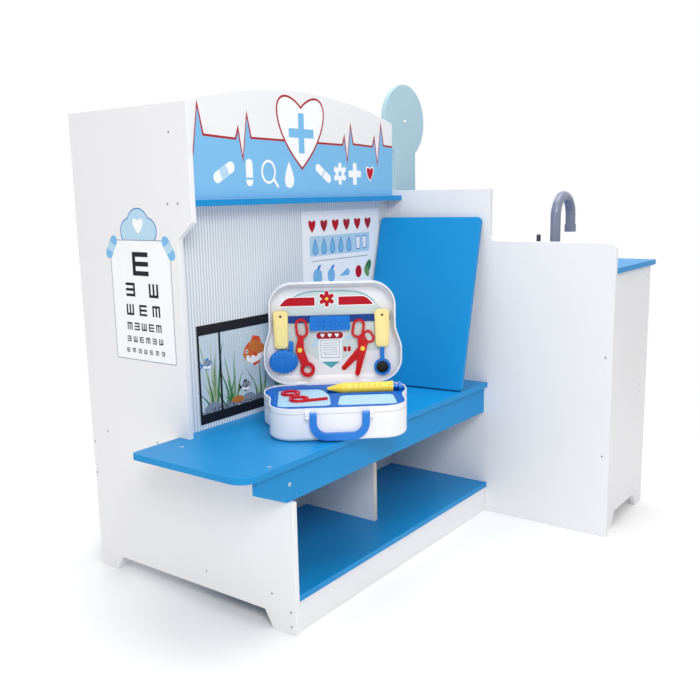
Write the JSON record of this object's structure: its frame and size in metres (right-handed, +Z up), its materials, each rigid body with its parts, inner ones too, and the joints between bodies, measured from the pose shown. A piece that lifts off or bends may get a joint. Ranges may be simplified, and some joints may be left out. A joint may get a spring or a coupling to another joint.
{
  "type": "toy medical play centre",
  "caption": "Wooden play clinic: bench with header wall, divider and sink cabinet with doors and swivel tap, leaning board and an open doctor's case.",
  "frame": {"origin": "middle of the footprint's bounding box, on the floor", "axes": "+X along the bench from the side panel towards the sink cabinet, +Y from the bench front towards the back, +Z up"},
  "size_m": [1.1714, 0.865, 1.0642],
  "materials": {
    "white_board": "white painted fibreboard, satin",
    "blue_board": "bright blue painted fibreboard, satin",
    "pale_blue_board": "pale blue painted fibreboard, satin",
    "printed_board": "white fibreboard with a printed face, satin",
    "raw_board": "white fibreboard with a raw sawn front edge",
    "screw_steel": "zinc plated steel",
    "tap_grey": "grey blue moulded plastic",
    "lever_dark": "dark grey moulded plastic",
    "basin_grey": "light grey moulded plastic",
    "dial_white": "white plastic disc with a printed scale",
    "dial_red": "red moulded plastic",
    "case_white": "white moulded plastic",
    "case_blue": "blue moulded plastic",
    "inlay_blue": "light blue film",
    "insert_print": "printed card",
    "tool_yellow": "yellow moulded plastic",
    "tool_red": "red moulded plastic",
    "tool_blue": "blue moulded plastic",
    "mirror_dark": "small dark mirror"
  },
  "bodies": {
    "frame": {"left_side_panel": "printed_board", "divider_panel": "white_board", "bench_seat": "blue_board", "bench_apron": "blue_board", "seat_cleat": "blue_board", "bench_lower_shelf": "blue_board", "bench_toe_kick": "white_board", "bench_partition": "raw_board", "wall_panel": "printed_board", "header_shelf": "blue_board", "header_board": "printed_board", "rear_shelf": "blue_board", "rear_rail": "white_board", "cabinet_end_panel": "white_board", "column_board": "pale_blue_board", "cabinet_bottom": "white_board", "cabinet_shelf": "white_board", "cabinet_rail": "white_board", "countertop": "blue_board", "door_pins": "screw_steel", "basin": "basin_grey", "basin_drain": "tap_grey", "tap_collar": "tap_grey", "lever_base": "lever_dark", "dial_disc": "dial_white", "bench_screws": "screw_steel", "divider_screws": "screw_steel", "cabinet_screws": "screw_steel"},
    "front_door": {"door_front": "white_board", "door_knob_front": "blue_board"},
    "back_door": {"door_back": "white_board", "door_knob_back": "blue_board"},
    "spout": {"tap_spout": "tap_grey", "tap_nozzle": "tap_grey"},
    "lever": {"tap_lever": "lever_dark"},
    "pointer": {"dial_pointer": "dial_red", "dial_pivot": "screw_steel"},
    "leaf": {"leaning_leaf": "blue_board"},
    "case": {"case_base": "case_white", "case_pins": "screw_steel", "case_tray": "case_blue", "tray_inlays": "inlay_blue"},
    "lid": {"case_lid": "case_white", "lid_insert": "insert_print", "tool_band": "case_blue"},
    "handle": {"case_handle": "case_blue"},
    "horn": {"horn_grip": "tool_yellow", "horn_head": "tool_blue"},
    "mirror": {"mirror_grip": "tool_yellow", "mirror_ring": "tool_blue", "mirror_glass": "mirror_dark"},
    "forceps": {"forceps_upper_half": "tool_red", "forceps_rivet": "tool_yellow"},
    "forceps_under": {"forceps_under_half": "tool_red"},
    "scissors": {"scissors_upper_half": "tool_red", "scissors_rivet": "tool_yellow"},
    "scissors_under": {"scissors_under_half": "tool_red"},
    "syringe": {"syringe_barrel": "tool_yellow"},
    "plunger": {"syringe_plunger": "tool_blue"},
    "glasses": {"toy_glasses": "tool_red"}
  },
  "joints": [
    {"name": "front_door_hinge", "type": "hinge", "parent": "frame", "child": "front_door", "pos_m": [0.55775, -0.4035, 0.049], "axis": [0, 0, -1], "range_deg": [0, 90]},
    {"name": "back_door_hinge", "type": "hinge", "parent": "frame", "child": "back_door", "pos_m": [0.55775, 0.1405, 0.049], "axis": [0, 0, 1], "range_deg": [0, 90]},
    {"name": "spout_swivel", "type": "hinge", "parent": "frame", "child": "spout", "pos_m": [0.32375, -0.2735, 0.621], "axis": [0, 0, 1], "range_deg": [-60, 60]},
    {"name": "lever_tilt", "type": "hinge", "parent": "frame", "child": "lever", "pos_m": [0.32375, -0.2325, 0.635], "axis": [-1, 0, 0], "range_deg": [0, 30]},
    {"name": "dial_turn", "type": "hinge", "parent": "frame", "child": "pointer", "pos_m": [0.34075, 0.1595, 0.9733], "axis": [0, 1, 0], "continuous": true},
    {"name": "leaf_lift", "type": "slide", "parent": "frame", "child": "leaf", "axis": [-0.25, -0.8, 0.5454], "range_m": [0, 0.3]},
    {"name": "case_lift", "type": "slide", "parent": "frame", "child": "case", "axis": [0, -0.8, 0.6], "range_m": [0, 0.4]},
    {"name": "lid_hinge", "type": "hinge", "parent": "case", "child": "lid", "pos_m": [-0.1497, 0.0193, 0.3973], "axis": [-0.6428, 0.766, 0], "range_deg": [-90, 0]},
    {"name": "handle_swing", "type": "hinge", "parent": "case", "child": "handle", "pos_m": [-0.31808, -0.12198, 0.3853], "axis": [-0.6428, 0.766, 0], "range_deg": [0, 90]},
    {"name": "horn_pull", "type": "slide", "parent": "lid", "child": "horn", "axis": [-0.766, -0.6428, 0], "range_m": [0, 0.032]},
    {"name": "mirror_pull", "type": "slide", "parent": "lid", "child": "mirror", "axis": [-0.766, -0.6428, 0], "range_m": [0, 0.032]},
    {"name": "forceps_pull", "type": "slide", "parent": "lid", "child": "forceps", "axis": [-0.766, -0.6428, 0], "range_m": [0, 0.032]},
    {"name": "scissors_pull", "type": "slide", "parent": "lid", "child": "scissors", "axis": [-0.766, -0.6428, 0], "range_m": [0, 0.032]},
    {"name": "forceps_open", "type": "hinge", "parent": "forceps", "child": "forceps_under", "pos_m": [-0.17402, 0.09106, 0.4663], "axis": [-0.766, -0.6428, 0], "range_deg": [0, 12]},
    {"name": "scissors_close", "type": "hinge", "parent": "scissors", "child": "scissors_under", "pos_m": [-0.08435, -0.0102, 0.4653], "axis": [-0.766, -0.6428, 0], "range_deg": [0, 24]},
    {"name": "syringe_lift", "type": "slide", "parent": "case", "child": "syringe", "axis": [0, 0, 1], "range_m": [0, 0.06]},
    {"name": "plunger_stroke", "type": "slide", "parent": "syringe", "child": "plunger", "axis": [0.6428, -0.766, 0], "range_m": [-0.011, 0.006]},
    {"name": "glasses_lift", "type": "slide", "parent": "case", "child": "glasses", "axis": [0, 0, 1], "range_m": [0, 0.06]}
  ]
}
